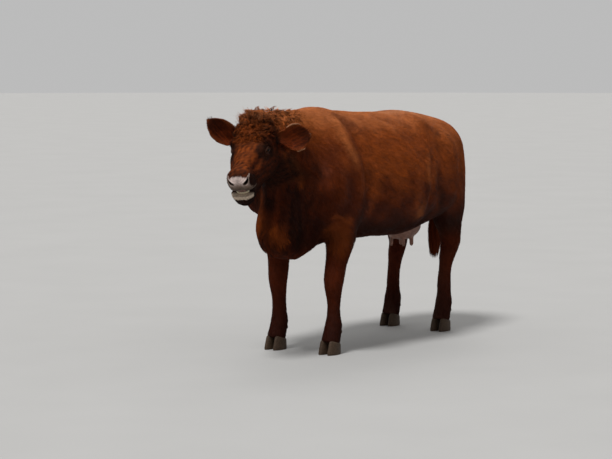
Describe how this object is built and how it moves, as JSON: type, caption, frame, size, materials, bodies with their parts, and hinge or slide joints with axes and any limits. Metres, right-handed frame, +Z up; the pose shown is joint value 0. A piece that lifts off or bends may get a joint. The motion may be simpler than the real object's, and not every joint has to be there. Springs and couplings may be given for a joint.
{
  "type": "beef cow",
  "caption": "Life-size standing cow of a polled red beef breed, head turned to its left and lips slightly parted, as a still display model that rests on its feet.",
  "frame": {"origin": "on the floor, under the middle of the outline seen from above", "axes": "+Z up, the head points towards -Y and the tail towards +Y, and the cow's left side is at +X"},
  "size_m": [0.7988, 2.2384, 1.3717],
  "materials": {
    "coat": "short, slightly wavy red-brown hair, curled on the poll and forehead and darker on the neck and chest",
    "dark_coat": "short dark brown hair of the lower legs and longer hair of the tail switch",
    "bare_skin": "matt greyish pink bare skin",
    "tongue_skin": "moist pink",
    "tooth_enamel": "worn ivory enamel",
    "hoof_horn": "dark ridged horn, scuffed and dusty at the edge",
    "eyeball": "wet, glossy, very dark brown"
  },
  "bodies": {
    "root": {"trunk": "coat", "neck": "coat", "head": "coat", "lower_jaw": "coat", "ear_left": "coat", "ear_right": "coat", "tail": "coat", "tail_switch": "dark_coat", "foreleg_upper_left": "coat", "foreleg_lower_left": "dark_coat", "hindleg_upper_left": "coat", "hindleg_lower_left": "dark_coat", "foreleg_upper_right": "coat", "foreleg_lower_right": "dark_coat", "hindleg_upper_right": "coat", "hindleg_lower_right": "dark_coat", "foreleg_claw_inner_left": "hoof_horn", "foreleg_dewclaw_inner_left": "hoof_horn", "foreleg_claw_outer_left": "hoof_horn", "foreleg_dewclaw_outer_left": "hoof_horn", "hindleg_claw_inner_left": "hoof_horn", "hindleg_dewclaw_inner_left": "hoof_horn", "hindleg_claw_outer_left": "hoof_horn", "hindleg_dewclaw_outer_left": "hoof_horn", "foreleg_claw_inner_right": "hoof_horn", "foreleg_dewclaw_inner_right": "hoof_horn", "foreleg_claw_outer_right": "hoof_horn", "foreleg_dewclaw_outer_right": "hoof_horn", "hindleg_claw_inner_right": "hoof_horn", "hindleg_dewclaw_inner_right": "hoof_horn", "hindleg_claw_outer_right": "hoof_horn", "hindleg_dewclaw_outer_right": "hoof_horn", "udder": "bare_skin", "teat_front_left": "bare_skin", "teat_front_right": "bare_skin", "teat_rear_left": "bare_skin", "teat_rear_right": "bare_skin", "dental_pad": "bare_skin", "tongue": "tongue_skin", "incisors": "tooth_enamel", "eye_left": "eyeball", "eye_right": "eyeball"}
  },
  "joints": []
}
